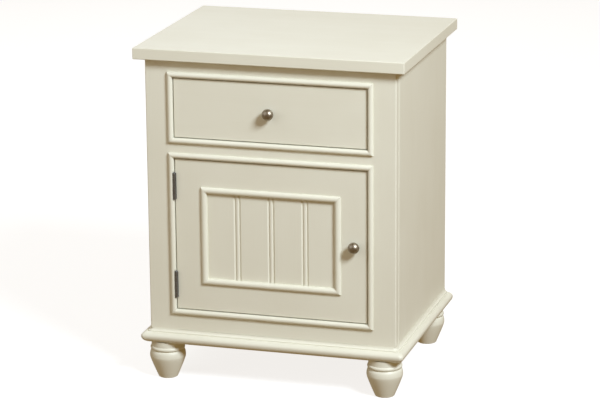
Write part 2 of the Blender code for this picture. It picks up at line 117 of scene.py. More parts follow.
def placeLamps():
    aim = Vector((0, 0, (cadBox[0][2] + cadBox[1][2]) / 2))
    for name, look in lamps.items():
        lamp = bpy.data.objects.new(name, bpy.data.lights.new(name, "AREA"))
        lamp.data.shape = "DISK"
        lamp.data.size = look["size"]
        lamp.data.energy = look["power"]
        lamp.data.color = lampColour
        away = directionOf(look["azimuth"], look["elevation"])
        lamp.location = aim + away * look["away"]
        lamp.rotation_euler = away.to_track_quat("Z", "Y").to_euler()
        bpy.context.scene.collection.objects.link(lamp)


# Shader writing: a signal is one output, and expressions on signals add the nodes


class Signal:
    def __init__(self, finish, socket):
        self.finish = finish
        self.socket = socket

    def maths(self, operation, first, second):
        return self.finish.add("Math", {"operation": operation}, {0: first, 1: second})

    def __add__(self, other):
        return self.maths("ADD", self, other)

    def __sub__(self, other):
        return self.maths("SUBTRACT", self, other)

    def __rsub__(self, other):
        return self.maths("SUBTRACT", other, self)

    def __mul__(self, other):
        return self.maths("MULTIPLY", self, other)

    def __pow__(self, other):
        return self.maths("POWER", self, other)

    __radd__ = __add__
    __rmul__ = __mul__


class Finish:
    def __init__(self, name):
        self.material = bpy.data.materials.new(name)
        self.material.use_nodes = True
        self.tree = self.material.node_tree
        self.shader = self.tree.nodes["Principled BSDF"]
        self.point = self.add("TexCoord", output="Object")

    def add(self, kind, settings=None, inputs=None, output=0):
        node = self.tree.nodes.new("ShaderNode" + kind)
        for key, value in (settings or {}).items():
            if key == "stops":
                for spare in range(len(value) - 2):
                    node.color_ramp.elements.new(0.5)
                for element, (at, colour) in zip(node.color_ramp.elements, value):
                    element.position = at
                    element.color = (*colour, 1)
            else:
                setattr(node, key, value)
        for key, value in (inputs or {}).items():
            self.feed(node.inputs[key], value)
        return Signal(self, node.outputs[output])

    def feed(self, socket, value):
        if isinstance(value, Signal):
            self.tree.links.new(value.socket, socket)
        elif socket.type == "RGBA" and len(value) == 3:
            socket.default_value = (*value, 1)
        else:
            socket.default_value = value

    def wear(self, **sockets):  # what the shader itself is given
        for name, value in sockets.items():
            self.feed(self.shader.inputs[name.replace("_", " ")], value)

    def stretched(self, scales):
        return self.add("VectorMath", {"operation": "MULTIPLY"}, {0: self.point, 1: scales})

    def noise(self, scales, detail=3, roughness=0.5):
        inputs = {"Vector": self.stretched(scales), "Scale": 1, "Detail": detail, "Roughness": roughness}
        return self.add("TexNoise", inputs=inputs)

    def between(self, mask, low, high):  # 0 below low, 1 above high
        inputs = {"Value": mask, "From Min": low, "From Max": high}
        return self.add("MapRange", {"interpolation_type": "SMOOTHSTEP"}, inputs)

    def mixed(self, mask, first, second):
        return self.add("Mix", {"data_type": "RGBA"}, {0: mask, 6: first, 7: second}, output=2)

    def bumped(self, height):  # height in metres
        return self.add("Bump", inputs={"Height": height, "Distance": 1, "Strength": 1})


def grainScales(grain, across, along):
    return tuple(along if axis == grain else across for axis in "XYZ")


creamLook = {
    "colour": (0.812, 0.794, 0.682),
    "deeper": (0.790, 0.768, 0.652),  # where the coat lies a little thinner
    "roughness": (0.36, 0.50),
    "brush": (620, 16),  # to the metre, across and along the grain
    "streaks": (34, 5),
    "clouds": 9,
    "peel": 1500,
    "brushDepth": 0.03 * mm,
    "peelDepth": 0.02 * mm,
}


def creamPaint(name, grain):
    look = creamLook
    finish = Finish(name)
    brush = finish.noise(grainScales(grain, *look["brush"]), detail=4)
    wide = finish.noise(grainScales(grain, *look["streaks"]), detail=2)
    cloud = finish.noise((look["clouds"],) * 3, detail=3)
    peel = finish.noise((look["peel"],) * 3, detail=1)
    tone = finish.between(cloud * 0.55 + wide * 0.3 + brush * 0.15, 0.36, 0.66)
    low, high = look["roughness"]
    finish.wear(
        Base_Color=finish.mixed(tone, look["colour"], look["deeper"]),
        Roughness=(wide * 0.5 + brush * 0.5) * (high - low) + low,
        Normal=finish.bumped(brush * look["brushDepth"] + peel * look["peelDepth"]),
        IOR=1.47,
    )
    return finish.material


woodLook = {
    "pale": (0.66, 0.47, 0.28),
    "mid": (0.56, 0.375, 0.205),
    "dark": (0.41, 0.25, 0.125),
    "rings": 64,  # growth bands to the metre
    "lean": (7, 1.1),  # to the metre, across and along the grain
    "fibre": (900, 14),
    "pores": (1700, 55),
    "poreDepth": 0.10 * mm,
    "roughness": (0.34, 0.52),
}


def lacqueredWood(name, grain):
    look = woodLook
    finish = Finish(name)
    lean = finish.noise(grainScales(grain, *look["lean"]), detail=2)
    across, through = (
        finish.add("SeparateXYZ", inputs={0: finish.point}, output=axis) for axis in "XYZ".replace(grain, "")
    )
    growth = (across + through * 0.8) * look["rings"] + lean * 9
    band = finish.add("Math", {"operation": "FRACT"}, {0: growth})
    late = band ** 3 * (1 - finish.between(band, 0.86, 1))
    fibre = finish.noise(grainScales(grain, *look["fibre"]), detail=4)
    pores = finish.between(finish.noise(grainScales(grain, *look["pores"]), detail=2), 0.60, 0.72)
    tone = finish.add(
        "ValToRGB",
        {"stops": [(0.0, look["pale"]), (0.5, look["mid"]), (1.0, look["dark"])]},
        {0: late * 0.42 + fibre * 0.5 + lean * 0.12 - 0.12},
    )
    low, high = look["roughness"]
    finish.wear(
        Base_Color=finish.mixed(pores * 0.5, tone, look["dark"]),
        Roughness=fibre * (high - low) + low,
        Normal=finish.bumped((fibre * 0.4 - pores) * look["poreDepth"]),
        IOR=1.5,
    )
    return finish.material


metalGrain = {"scratches": (2600, 90), "clouds": 140}  # to the metre, across and along the scratches
metalLooks = {
    "zinc_steel": {
        "colour": (0.70, 0.72, 0.74),
        "other": (0.55, 0.57, 0.60),
        "roughness": (0.22, 0.42),
        "cells": 260,
        "scratch": 0.02 * mm,
    },
    "satin_steel": {
        "colour": (0.27, 0.27, 0.28),
        "other": (0.22, 0.22, 0.225),
        "roughness": (0.36, 0.50),
        "cells": 420,
        "scratch": 0.02 * mm,
    },
    "dark_pewter": {
        "colour": (0.40, 0.35, 0.28),
        "other": (0.29, 0.245, 0.19),
        "roughness": (0.38, 0.46),
        "cells": 300,
        "scratch": 0.012 * mm,
    },
}


def metal(name):
    look = metalLooks[name]
    finish = Finish(name)
    cells = finish.add(
        "TexVoronoi",
        {"feature": "SMOOTH_F1"},
        {"Vector": finish.point, "Scale": look["cells"], "Smoothness": 0.6},
        output="Distance",
    )
    lines = finish.noise(grainScales("Y", *metalGrain["scratches"]), detail=3)
    cloud = finish.noise((metalGrain["clouds"],) * 3, detail=4)
    patch = finish.between(cloud * 0.7 + cells * 0.5, 0.42, 0.86)
    low, high = look["roughness"]
    finish.wear(
        Base_Color=finish.mixed(patch, look["colour"], look["other"]),
        Roughness=(lines * 0.5 + cloud * 0.5) * (high - low) + low,
        Metallic=1.0,
        Normal=finish.bumped(lines * look["scratch"] + cloud * look["scratch"]),
    )
    return finish.material


plasticLook = {
    "colour": (0.60, 0.575, 0.515),
    "other": (0.54, 0.515, 0.455),
    "roughness": (0.38, 0.55),
    "grain": 0.05 * mm,
}


def mouldedPlastic(name):
    look = plasticLook
    finish = Finish(name)
    grain = finish.noise((1900, 1900, 1900), detail=2)
    flow = finish.noise((60, 60, 60), detail=3)
    low, high = look["roughness"]
    finish.wear(
        Base_Color=finish.mixed(flow, look["colour"], look["other"]),
        Roughness=grain * (high - low) + low,
        Normal=finish.bumped(grain * look["grain"]),
    )
    return finish.material


def paleRoom(name):
    finish = Finish(name)
    cloud = finish.noise((0.8, 0.8, 0.8), detail=2)
    shade = tuple(channel * 0.97 for channel in room["colour"])
    finish.wear(Base_Color=finish.mixed(cloud, room["colour"], shade), Roughness=0.9)
    finish.wear(Emission_Color=(1, 1, 1), Emission_Strength=room["glow"], Specular_IOR_Level=0.1)
    return finish.material


# Mesh tools: a shape is a bmesh, in metres, in the cabinet's own frame


def boardShape(low, high, ease=0.0, segments=3, chosen=None):
    low, high = Vector(low), Vector(high)
    shape = bmesh.new()
    bmesh.ops.create_cube(shape, size=1)
    for vertex in shape.verts:
        vertex.co = Vector((low[i] + (vertex.co[i] + 0.5) * (high[i] - low[i]) for i in range(3)))
    if ease:
        easeEdges(shape, ease, segments, chosen)
    return shape


def easeEdges(shape, ease, segments=3, chosen=None, sharperThan=30):
    edges = [
        edge
        for edge in shape.edges
        if len(edge.link_faces) == 2
        and edge.calc_face_angle() > math.radians(sharperThan)
        and (chosen is None or chosen(edge.verts[0].co, edge.verts[1].co))
    ]
    bmesh.ops.bevel(
        shape, geom=edges, offset=ease, segments=segments, profile=0.5, affect="EDGES", clamp_overlap=True
    )


def behind(depth):  # chooses the edges that lie right at the back
    return lambda a, b: min(a.y, b.y) > depth - hair


def prismShape(outline, axis, span):
    order = {"X": (1, 2), "Y": (0, 2), "Z": (0, 1)}[axis]
    along = "XYZ".index(axis)
    shape = bmesh.new()
    rings = []
    for level in span:
        ring = []
        for first, second in outline:
            point = [0, 0, 0]
            point[order[0]], point[order[1]], point[along] = first, second, level
            ring.append(shape.verts.new(point))
        rings.append(ring)
    closeRings(shape, rings)
    shape.faces.new(rings[0])
    shape.faces.new(rings[-1])
    bmesh.ops.recalc_face_normals(shape, faces=shape.faces)
    return shape


def closeRings(shape, rings):
    for ring, following in zip(rings, rings[1:]):
        for i in range(len(ring)):
            j = (i + 1) % len(ring)
            shape.faces.new((ring[i], ring[j], following[j], following[i]))


def stripShape(section, start, end, outward, rise, gap, mitres=(True, True), cornerRound=0.0):
    # section holds (outward, rise) pairs, and a mitred end runs on by as much as it goes outward
    start, end = Vector(start), Vector(end)
    mitre = math.pi / 4
    along = (end - start).normalized()
    shape = bmesh.new()
    rings = []
    for corner, way, mitred in ((start, -1, mitres[0]), (end, 1, mitres[1])):
        steps = 8 if mitred and cornerRound else 0
        angles = [mitre * i / steps for i in range(steps + 1)] if steps else [mitre]
        for angle in angles if way > 0 else reversed(angles):
            short, pull = cornerRound * (1 - math.sin(angle)), cornerRound * (1 - math.cos(angle))
            inside = (short - cornerRound * (1 - math.sin(mitre))) * math.sqrt(2)
            ring = []
            for out, lift in section:
                reach = out - gap - (short if out > 0 else inside) if mitred else 0
                depth = out - pull if mitred and out > 0 else out
                ring.append(shape.verts.new(corner + outward * depth + rise * lift + along * way * reach))
            rings.append(ring)
    closeRings(shape, rings)
    shape.faces.new(rings[0])
    shape.faces.new(rings[-1])
    bmesh.ops.recalc_face_normals(shape, faces=shape.faces)
    return shape


def latheShape(profile, at, axis=up, steps=64):
    # profile holds (radius, along) pairs from one end to the other
    turn = up.rotation_difference(axis).to_matrix()
    shape = bmesh.new()
    rings = []
    for radius, along in profile:
        count = 1 if radius < 1e-7 else steps
        ring = []
        for i in range(count):
            angle = 2 * math.pi * i / steps
            point = Vector((radius * math.cos(angle), radius * math.sin(angle), along))
            ring.append(shape.verts.new(Vector(at) + turn @ point))
        rings.append(ring)
    for ring, following in zip(rings, rings[1:]):
        for i in range(steps):
            corners = [ring[i % len(ring)], ring[(i + 1) % len(ring)]]
            corners += [following[(i + 1) % len(following)], following[i % len(following)]]
            unique = list(dict.fromkeys(corners))
            if len(unique) > 2:
                shape.faces.new(unique)
    bmesh.ops.recalc_face_normals(shape, faces=shape.faces)
    return shape


def tubeShape(inner, outer, at, span, ease, steps=48):
    low, high = span
    profile = [(inner, low), (outer - ease, low), (outer, low + ease)]
    profile += [(outer, high - ease), (outer - ease, high), (inner, high), (inner, low)]
    return latheShape(profile, at, steps=steps)


def joined(shapes):
    whole = bmesh.new()
    for shape in shapes:
        part = bpy.data.meshes.new("part")
        shape.to_mesh(part)
        whole.from_mesh(part)
        bpy.data.meshes.remove(part)
    return whole


def movedTo(shape, matrix):
    copy = shape.copy()
    bmesh.ops.transform(copy, matrix=matrix, verts=copy.verts)
    return copy


def carved(shape, cutters):
    piece = holderOf("carving", shape)
    tool = holderOf("tool", joined(cutters))
    carving = piece.modifiers.new("carving", "BOOLEAN")
    carving.object = tool
    carving.operation = "DIFFERENCE"
    carving.solver = "EXACT"
    bpy.context.view_layer.update()
    result = bmesh.new()
    result.from_object(piece, bpy.context.evaluated_depsgraph_get())
    for helper in (piece, tool):
        bpy.data.objects.remove(helper)
    return result


def holderOf(name, shape):
    mesh = bpy.data.meshes.new(name)
    shape.to_mesh(mesh)
    piece = bpy.data.objects.new(name, mesh)
    bpy.context.scene.collection.objects.link(piece)
    return piece


def arc(centre, radii, start, end, steps):
    points = []
    for i in range(steps + 1):
        angle = math.radians(start + (end - start) * i / steps)
        points.append((centre[0] + radii[0] * math.cos(angle), centre[1] + radii[1] * math.sin(angle)))
    return points


def bend(start, pull, end, steps):  # a curve from start to end, drawn towards pull
    points = []
    for i in range(steps + 1):
        t = i / steps
        points.append(
            tuple(start[k] * (1 - t) ** 2 + 2 * pull[k] * t * (1 - t) + end[k] * t * t for k in range(2))
        )
    return points


def piece(name, shape, finish, body, slot, *nodes, sharpAbove=32):
    mesh = bpy.data.meshes.new(name)
    shape.to_mesh(mesh)
    made = bpy.data.objects.new(name, mesh)
    bpy.context.scene.collection.objects.link(made)
    mesh.polygons.foreach_set("use_smooth", [True] * len(mesh.polygons))
    mesh.set_sharp_from_angle(angle=math.radians(sharpAbove))
    weighted = made.modifiers.new("flat_faces_stay_flat", "WEIGHTED_NORMAL")
    weighted.keep_sharp = True
    mesh.materials.append(finish)
    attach(made, body)
    if nodes:
        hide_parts(*nodes)
    return made


def painted(name, shape, grain, body, *nodes, **more):
    return piece(name, shape, paints[grain], body, "cream_paint", *nodes, **more)


def wooden(name, shape, grain, body, *nodes, **more):
    return piece(name, shape, woods[grain], body, "lacquered_wood", *nodes, **more)


def metallic(name, shape, finish, body, *nodes, **more):
    return piece(name, shape, metals[finish], body, finish, *nodes, **more)


# Carcass

carcassLook = {
    "topEase": 1.6 * mm,
    "arris": 0.8 * mm,  # on the hidden back edges
    "cornerRound": 2.2 * mm,  # the front corners
    "jointGroove": 2.2 * mm,  # the V where a stile meets its side panel
    "backPinInset": 9 * mm,
    "backPinRadius": 3.2 * mm,
}


def makeTop():
    low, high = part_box("top_panel")
    painted("top_panel_fine", boardShape(low, high, carcassLook["topEase"], 4), "X", "carcass", "top_panel")


def makeSides():
    backLow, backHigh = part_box("back_panel")
    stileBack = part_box("face_stile_left")[1].y
    for side, word in ((-1, "left"), (1, "right")):
        node = f"side_panel_{word}"
        low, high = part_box(node)
        outer, inner = (low.x, high.x) if side < 0 else (high.x, low.x)
        rebate = backHigh.x + hair if side > 0 else backLow.x - hair
        seat = backLow.y - hair
        groove = carcassLook["jointGroove"]
        outline = [(outer - side * groove, stileBack), (outer, stileBack + groove)]
        outline += [(outer, high.y), (rebate, high.y), (rebate, seat), (inner, seat), (inner, stileBack)]
        shape = prismShape(outline, "Z", (low.z - tuck, high.z + tuck))
        easeEdges(shape, carcassLook["arris"], 3, behind(high.y))
        painted(f"{node}_fine", shape, "Z", "carcass", node)


def screwShape(radius, thick, domed, slotDepth=0.55):
    # its axis is +Z and its bearing face is at 0
    crown = arc((0, thick - domed), (radius, domed), 0, 90, 8)
    crown[-1] = (0, thick)
    profile = [(0, 0), (radius * 0.96, 0)] + crown
    head = latheShape(profile, (0, 0, 0), steps=40)
    arm, width = radius * 0.62, radius * 0.17
    cutters = []
    for wide, deep in ((arm, width), (width, arm)):
        cutters.append(boardShape((-wide, -deep, thick * (1 - slotDepth)), (wide, deep, thick + mm)))
    return carved(head, cutters)


def screwsAt(places, direction, radius, thick, domed):
    head = screwShape(radius, thick, domed)
    shapes = []
    for i, place in enumerate(places):
        spin = Matrix.Rotation(0.7 + 1.9 * i, 4, "Z")  # no two slots line up
        turn = up.rotation_difference(Vector(direction)).to_matrix().to_4x4()
        shapes.append(movedTo(head, Matrix.Translation(place) @ turn @ spin))
    return joined(shapes)


def makeBack():
    low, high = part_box("back_panel")
    shape = boardShape(low, high, 0.5 * mm, 2)
    painted("back_panel_fine", shape, "Z", "carcass", "back_panel")
    inset, radius = carcassLook["backPinInset"], carcassLook["backPinRadius"]
    places = []
    for x in (low.x + inset, 0, high.x - inset):
        for z in (low.z + inset, (low.z + high.z) / 2, high.z - inset):
            if x or z != (low.z + high.z) / 2:
                places.append((x, high.y - 0.6 * mm, z))
    shape = screwsAt(places, (0, 1, 0), radius, 1.4 * mm, 0.9 * mm)
    metallic("back_panel_screws", shape, "zinc_steel", "carcass")
    low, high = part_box("dust_panel")
    wooden("dust_panel_fine", boardShape(low, high, 0.5 * mm, 2), "Y", "carcass", "dust_panel")


def mortises(reach):
    cutters = []
    for word in ("upper", "lower"):
        low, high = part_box(f"hinge_{word}_frame_leaf")
        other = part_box(f"hinge_{word}_door_leaf")
        cutters.append(
            boardShape(
                (low.x - reach, face - mm, low.z - reach),
                (other[1].x + reach, high.y + reach, high.z + reach),
            )
        )
    return cutters


def makeFaceFrame():
    corner, groove = carcassLook["cornerRound"], carcassLook["jointGroove"]
    for side, word in ((-1, "left"), (1, "right")):
        node = f"face_stile_{word}"
        low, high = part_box(node)
        outer, inner = (low.x, high.x) if side < 0 else (high.x, low.x)
        outline = [(inner, low.y)]
        outline += arc((outer - side * corner, low.y + corner), (side * corner, corner), -90, 0, 8)
        outline += [(outer, high.y - groove), (outer - side * groove, high.y), (inner, high.y)]
        shape = prismShape(outline, "Z", (low.z - tuck, high.z + tuck))
        if side < 0:
            shape = carved(shape, mortises(0.15 * mm))
        painted(f"{node}_fine", shape, "Z", "carcass", node)
    for word in ("top", "middle", "bottom"):
        node = f"face_rail_{word}"
        low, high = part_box(node)
        grow = Vector((tuck, 0, 0))
        shape = boardShape(low - grow, high + grow, carcassLook["arris"], 2, behind(high.y))
        painted(f"{node}_fine", shape, "X", "carcass", node)


beadLook = {"width": 9.5 * mm, "rise": 5.5 * mm, "mitreGap": 0.12 * mm}


def beadSection():
    width, rise = beadLook["width"], beadLook["rise"]
    flat = rise - width / 2
    crown = arc((width / 2, flat), (width / 2, rise - flat), 180, 0, 28)
    return [(0.05 * mm, 0)] + crown + [(width - 0.05 * mm, 0)]


def makeBeads():
    for opening in ("drawer", "door"):
        lowest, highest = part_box(f"{opening}_bead_left"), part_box(f"{opening}_bead_right")
        half = lowest[1].x
        low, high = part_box(f"{opening}_bead_bottom")[1].z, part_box(f"{opening}_bead_top")[0].z
        corners = {
            "bottom": ((half, low), (-half, low), -up),
            "right": ((-half, high), (-half, low), right),
            "top": ((half, high), (-half, high), up),
            "left": ((half, high), (half, low), -right),
        }
        for word, (start, end, outward) in corners.items():
            node = f"{opening}_bead_{word}"
            starting = (start[0], face, start[1])
            ending = (end[0], face, end[1])
            shape = stripShape(beadSection(), starting, ending, outward, forward, beadLook["mitreGap"])
            if node == "door_bead_left":
                shape = carved(shape, [knuckleRoom(level) for level in ("upper", "lower")])
            painted(f"{node}_fine", shape, "X" if outward.x == 0 else "Z", "carcass", node)


def knuckleRoom(level):
    low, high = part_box(f"hinge_{level}_pin")
    axis = (low + high) / 2
    span = (low.z - 1.5 * mm, high.z + 1.0 * mm)
    radius = hingeLook["knuckle"] + 0.5 * mm
    profile = [(0, span[0]), (radius, span[0]), (radius, span[1]), (0, span[1])]
    return latheShape(profile, (axis.x, axis.y, 0), steps=48)


# Base and feet

baseLook = {
    "coveReach": 4.2 * mm,
    "noseHeight": 11 * mm,
    "coveHeight": 6 * mm,
    "quirk": 1.2 * mm,  # the groove between the round and the cove
    "setIn": 6 * mm,
    "cornerRound": 7 * mm,  # seen from above
    "mitreGap": 0.04 * mm,
}


def baseSection(reach, thick):
    quirk, setIn = baseLook["quirk"], baseLook["setIn"]
    nose = baseLook["noseHeight"]
    above = thick - baseLook["coveHeight"] - nose
    middle = reach * 0.25
    section = [(-setIn, 0)] + arc((middle, nose), (reach - middle, nose), -90, 0, 18)
    section += arc((middle, nose), (reach - middle, above), 0, 79, 16)[1:]
    lip, top = section[-1]
    section += arc((lip - quirk / 2, top - quirk * 0.2), (quirk / 2, quirk * 0.55), 0, -180, 6)
    section.append((lip - quirk, top + quirk * 0.9))
    section += arc((lip - quirk, thick), (baseLook["coveReach"], thick - section[-1][1]), 270, 180, 12)[1:]
    return section + [(-setIn, thick)]


def makeBase():
    low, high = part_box("bottom_board")
    painted("bottom_board_fine", boardShape(low, high, 0.8 * mm, 2), "X", "carcass", "bottom_board")
    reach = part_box("base_moulding_right")[1].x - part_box("side_panel_right")[1].x
    section = baseSection(reach, high.z - low.z)
    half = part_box("side_panel_right")[1].x
    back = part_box("side_panel_right")[1].y
    level = low.z
    gap = baseLook["mitreGap"]
    runs = {
        "front": ((-half, face, level), (half, face, level), forward, (True, True), "X"),
        "left": ((-half, back, level), (-half, face, level), -right, (False, True), "Y"),
        "right": ((half, back, level), (half, face, level), right, (False, True), "Y"),
    }
    for word, (start, end, outward, mitres, grain) in runs.items():
        node = f"base_moulding_{word}"
        shape = stripShape(section, start, end, outward, up, gap, mitres, baseLook["cornerRound"])
        painted(f"{node}_fine", shape, grain, "carcass", node, sharpAbove=40)


footLook = {
    "toe": 17.6 * mm,
    "toeRound": 3 * mm,
    "bulb": 31.9 * mm,
    "shoulder": 12 * mm,  # from the bulb's widest up to the groove
    "groove": 27.8 * mm,
    "collar": 30.7 * mm,
    "collarHeight": 7 * mm,
    "neck": 28.7 * mm,
    "neckLength": 10 * mm,
}


def footProfile(height):
    look = footLook
    toe, toeRound, bulb = look["toe"], look["toeRound"], look["bulb"]
    collarTop = height - look["neckLength"]
    groove = collarTop - look["collarHeight"]
    widest = groove - look["shoulder"]
    profile = [(0, 0.5 * mm), (toe * 0.5, 0.4 * mm), (toe - toeRound, 0)]
    profile += arc((toe - toeRound, toeRound * 0.7), (toeRound, toeRound * 0.7), -70, 0, 7)
    profile += bend((toe, toeRound * 0.7), (bulb, widest - 5 * mm), (bulb, widest), 26)[1:]
    profile += bend((bulb, widest), (bulb, groove - 2 * mm), (look["groove"], groove), 16)[1:]
    collarHalf = look["collarHeight"] / 2
    bulge = (look["collar"] - look["groove"], collarHalf)
    profile += arc((look["groove"], groove + collarHalf), bulge, -80, 70, 22)
    profile += [(look["neck"], collarTop), (look["neck"], height), (0, height)]
    return profile


def makeFeet():
    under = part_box("bottom_board")[0].z
    for depth in ("front", "back"):
        for word in ("left", "right"):
            node = f"foot_{depth}_{word}"
            low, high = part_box(node)
            at = ((low.x + high.x) / 2, (low.y + high.y) / 2, 0)
            shape = latheShape(footProfile(under), at, steps=112)
            painted(f"{node}_fine", shape, "Z", "carcass", node, sharpAbove=40)


# Drawer

drawerLook = {
    "frontEase": 0.9 * mm,
    "rimRound": 3.5 * mm,  # the tops of the box's sides
    "groove": 6 * mm,
}


def makeDrawer():
    low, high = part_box("drawer_front")
    shape = boardShape(low, high, drawerLook["frontEase"], 3)
    painted("drawer_front_fine", shape, "X", "drawer", "drawer_front")
    floorLow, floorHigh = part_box("drawer_bottom")
    rim = drawerLook["rimRound"]
    for side, word in ((-1, "left"), (1, "right")):
        node = f"drawer_side_{word}"
        low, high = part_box(node)
        inner, outer = (high.x, low.x) if side < 0 else (low.x, high.x)
        slotDepth = inner + side * drawerLook["groove"]
        crown = arc((inner + side * rim, high.z - rim), (-side * rim, rim), 0, 90, 8)
        crown += arc((outer - side * rim, high.z - rim), (side * rim, rim), 90, 0, 8)
        slotLow, slotHigh = floorLow.z - hair, floorHigh.z + hair
        outline = [(outer, low.z), (inner, low.z), (inner, slotLow), (slotDepth, slotLow)]
        outline += [(slotDepth, slotHigh), (inner, slotHigh)] + crown
        shape = prismShape(outline, "Y", (low.y - tuck, high.y))
        easeEdges(shape, 0.5 * mm, 2, behind(high.y))
        wooden(f"{node}_fine", shape, "Y", "drawer", node)
    low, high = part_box("drawer_back")
    shape = boardShape(low - Vector((tuck, 0, 0)), high + Vector((tuck, 0, -mm)))
    easeEdges(shape, 2.5 * mm, 5, lambda a, b: min(a.z, b.z) > high.z - 1.2 * mm and abs(a.x - b.x) > 0.1)
    wooden("drawer_back_fine", shape, "X", "drawer", "drawer_back")
    wooden("drawer_bottom_fine", boardShape(floorLow, floorHigh, 0.4 * mm, 2), "X", "drawer", "drawer_bottom")


# Knobs

knobLook = {
    "foot": 6 * mm,
    "footEdge": 0.4 * mm,
    "neck": 4.4 * mm,
    "headHalf": 8.6 * mm,
    "screwHead": 4 * mm,
    "screwHeadThick": 2.4 * mm,
}


def knobProfile(radius, length):
    foot, neck, headHalf = knobLook["foot"], knobLook["neck"], knobLook["headHalf"]
    middle = length - headHalf
    edge = knobLook["footEdge"]
    profile = [(0, hair), (foot - edge, hair)]
    profile += arc((foot - edge, hair + edge), (edge, edge), -90, 0, 4)
    profile += bend((foot, 0.8 * mm), (neck, 1.2 * mm), (neck, 2.2 * mm), 8)
    profile += arc((0, middle), (radius, headHalf), -62, 90, 48)
    profile[-1] = (0, length)
    return profile


def makeKnob(front, body):
    node = f"{body}_knob"
    low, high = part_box(node)
    centre = (low + high) / 2
    profile = knobProfile((high.x - low.x) / 2, face - low.y)
    shape = latheShape(profile, (centre.x, face, centre.z), forward, 80)
    metallic(f"{node}_fine", shape, "dark_pewter", body, node, sharpAbove=50)
    node = f"{body}_knob_screw"
    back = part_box(front)[1].y
    thick = knobLook["screwHeadThick"]
    shape = screwsAt([(centre.x, back, centre.z)], (0, 1, 0), knobLook["screwHead"], thick, 1.5 * mm)
    metallic(f"{node}_fine", shape, "zinc_steel", body, node)


# Door

doorLook = {
    "edge": 0.9 * mm,
    "grooveSpacing": 61 * mm,
    "grooveQuirk": 3 * mm,
    "grooveBead": 7 * mm,
    "grooveDepth": 2.2 * mm,
    "tongue": 6 * mm,
    "mouldingWidth": 11 * mm,
    "mouldingRise": 5 * mm,
    "mitreGap": 0.12 * mm,
}


def makeDoorFrame():
    lows, highs = zip(*(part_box(node) for node in ("door_stile_hinge", "door_stile_latch")))
    outer = highs[1].x
    bottom, top = lows[0].z, highs[0].z
    tiny = 0.05 * mm

    def onRim(a, b):
        atSide = min(abs(a.x), abs(b.x)) > outer - tiny
        atEnd = min(a.z, b.z) > top - tiny or max(a.z, b.z) < bottom + tiny
        return atSide or atEnd

    for node, grain in (
        ("door_stile_hinge", "Z"),
        ("door_stile_latch", "Z"),
        ("door_rail_top", "X"),
        ("door_rail_bottom", "X"),
    ):
        low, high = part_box(node)
        if grain == "X":
            inner = highs[0].x
            low.x, high.x = inner, -inner

        def longRim(a, b, grain=grain):
            crossing = abs(a.x - b.x) > 0.02 if grain == "X" else True
            return onRim(a, b) and crossing

        shape = boardShape(low, high, doorLook["edge"], 3, longRim)
        if node == "door_stile_hinge":
            shape = carved(shape, mortises(0.15 * mm))
        painted(f"{node}_fine", shape, grain, "door", node)


def makeDoorPanel():
    low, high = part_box("door_panel")
    half = -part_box("door_stile_hinge")[1].x - hair
    bottom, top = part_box("door_rail_bottom")[1].z + hair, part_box("door_rail_top")[0].z - hair
    tongueFront = high.y - doorLook["tongue"]
    quirk, bead, depth = doorLook["grooveQuirk"], doorLook["grooveBead"], doorLook["grooveDepth"]
    outline = [(-half, high.y - mm), (-half, low.y)]
    for middle in (-doorLook["grooveSpacing"], 0, doorLook["grooveSpacing"]):
        outline.append((middle - bead / 2 - quirk, low.y))
        outline += arc((middle, low.y + depth), (bead / 2, -depth), 180, 0, 20)
        outline.append((middle + bead / 2 + quirk, low.y))
    outline += [(half, low.y), (half, high.y - mm)]
    tongue = boardShape((low.x, tongueFront, low.z), high, 0.5 * mm, 2)
    shape = joined([prismShape(outline, "Z", (bottom, top)), tongue])
    painted("door_panel_fine", shape, "Z", "door", "door_panel", sharpAbove=24)


def mouldingSection(sink):
    width, rise = doorLook["mouldingWidth"], doorLook["mouldingRise"]
    crown = arc((width / 2, 0), (width / 2, rise), 180, 0, 28)
    return [(0, -sink)] + crown + [(width, -sink)]


def makePanelMoulding():
    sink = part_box("door_panel")[0].y - face
    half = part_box("door_moulding_right")[0].x
    low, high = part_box("door_moulding_bottom")[1].z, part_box("door_moulding_top")[0].z
    corners = {
        "bottom": ((-half, low), (half, low), -up),
        "right": ((half, low), (half, high), right),
        "top": ((-half, high), (half, high), up),
        "left": ((-half, low), (-half, high), -right),
    }
    section, gap = mouldingSection(sink), doorLook["mitreGap"]
    for word, (start, end, outward) in corners.items():
        node = f"door_moulding_{word}"
        starting, ending = (start[0], face, start[1]), (end[0], face, end[1])
        shape = stripShape(section, starting, ending, outward, forward, gap)
        painted(f"{node}_fine", shape, "X" if outward.x == 0 else "Z", "door", node)


# Hinges

hingeLook = {
    "knuckle": 2.7 * mm,
    "knuckles": 5,
    "leaf": 1.2 * mm,
    "pin": 1.3 * mm,
    "pinHead": 2.3 * mm,
    "screws": 3,
    "screwRadius": 2.3 * mm,
    "screwSetback": 6.2 * mm,
    "screwStagger": 3.6 * mm,
    "strapFrom": 1.7 * mm,  # where the leaf springs from its knuckle, behind the pin
    "cornerRound": 2.0 * mm,
}


